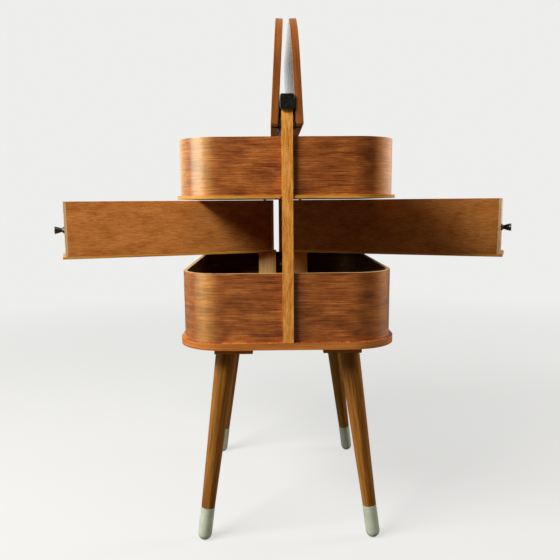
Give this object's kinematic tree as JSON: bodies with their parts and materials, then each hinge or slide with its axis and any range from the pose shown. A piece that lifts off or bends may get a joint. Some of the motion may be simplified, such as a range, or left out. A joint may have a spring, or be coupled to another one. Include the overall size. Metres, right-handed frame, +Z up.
{
  "type": "sewing box",
  "caption": "Wooden sewing box with open bins held between posts, swing-out trays, hinged lids and a carrying handle, on splayed legs.",
  "frame": {"origin": "on the floor, under the middle of the bins", "axes": "+Z up, -Y towards the end with the knobs, which is the front, +X to the right"},
  "size_m": [0.8157, 0.4831, 0.7446],
  "materials": {
    "teak_veneer": "satin teak veneer",
    "solid_teak": "satin solid teak",
    "pale_wood": "matt beech and birch plywood",
    "grey_green_rubber": "matt grey-green rubber",
    "black_lacquer": "glossy black lacquered wood",
    "black_steel": "black finished steel",
    "steel": "plain steel",
    "brass": "dull brass"
  },
  "bodies": {
    "stand": {"base_plate": "teak_veneer", "cleat_left": "teak_veneer", "cleat_right": "teak_veneer", "cleat_screws_all": "brass", "leg_front_left": "solid_teak", "leg_front_right": "solid_teak", "leg_back_left": "solid_teak", "leg_back_right": "solid_teak", "foot_cap_front_left": "grey_green_rubber", "foot_cap_front_right": "grey_green_rubber", "foot_cap_back_left": "grey_green_rubber", "foot_cap_back_right": "grey_green_rubber", "leg_studs": "steel", "lower_wall_left": "teak_veneer", "lower_wall_right": "teak_veneer", "upper_floor": "pale_wood", "upper_wall_left": "teak_veneer", "upper_wall_right": "teak_veneer", "post_front": "solid_teak", "post_back": "solid_teak", "handle_bar": "black_lacquer", "centre_rail": "teak_veneer", "post_screws": "brass", "pivot_block_left": "pale_wood", "pivot_block_right": "pale_wood", "pivot_rod_left": "black_steel", "pivot_rod_right": "black_steel", "pivot_washers": "brass", "rail_leaves_left": "black_steel", "rail_leaves_right": "black_steel", "hinge_pins": "steel"},
    "tray_left": {"tray_wall_left": "teak_veneer", "tray_panel_left": "teak_veneer", "tray_floor_left": "pale_wood", "tray_block_left": "pale_wood", "tray_knob_left": "black_lacquer", "tray_screw_left": "brass"},
    "lid_left": {"lid_left": "teak_veneer", "lid_leaves_left": "black_steel"},
    "tray_right": {"tray_wall_right": "teak_veneer", "tray_panel_right": "teak_veneer", "tray_floor_right": "pale_wood", "tray_block_right": "pale_wood", "tray_knob_right": "black_lacquer", "tray_screw_right": "brass"},
    "lid_right": {"lid_right": "teak_veneer", "lid_leaves_right": "black_steel"}
  },
  "joints": [
    {"name": "tray_left_swing", "type": "hinge", "parent": "stand", "child": "tray_left", "pos_m": [-0.034, 0.1795, 0.402], "axis": [0, 0, 1], "range_deg": [-33, 72]},
    {"name": "tray_right_swing", "type": "hinge", "parent": "stand", "child": "tray_right", "pos_m": [0.034, 0.1795, 0.402], "axis": [0, 0, -1], "range_deg": [-37, 68]},
    {"name": "lid_left_hinge", "type": "hinge", "parent": "stand", "child": "lid_left", "pos_m": [-0.00935, 0, 0.596], "axis": [0, -1, 0], "range_deg": [0, 93.17]},
    {"name": "lid_right_hinge", "type": "hinge", "parent": "stand", "child": "lid_right", "pos_m": [0.00935, 0, 0.596], "axis": [0, 1, 0], "range_deg": [0, 93.17]}
  ]
}
